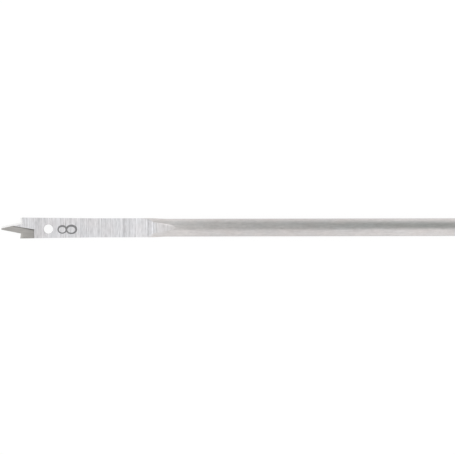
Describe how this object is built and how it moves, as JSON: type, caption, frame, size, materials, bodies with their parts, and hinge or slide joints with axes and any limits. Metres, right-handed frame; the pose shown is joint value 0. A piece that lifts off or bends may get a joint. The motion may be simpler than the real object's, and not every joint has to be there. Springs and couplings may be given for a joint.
{
  "type": "spade drill bit",
  "caption": "Long flat spade bit for wood, with a ground centre point, two cutting lips, a hole in the blade and a round shank with a hexagonal drive end.",
  "frame": {"origin": "on the bit's axis, at the end face of its hexagonal drive end", "axes": "+X along the axis from the point to the drive end, +Z square to the flat of the blade, +Y across the blade"},
  "size_m": [0.4, 0.008, 0.0068],
  "materials": {
    "steel": "ground blade and bright drawn shank"
  },
  "bodies": {
    "root": {"spade_bit": "steel"}
  },
  "joints": []
}
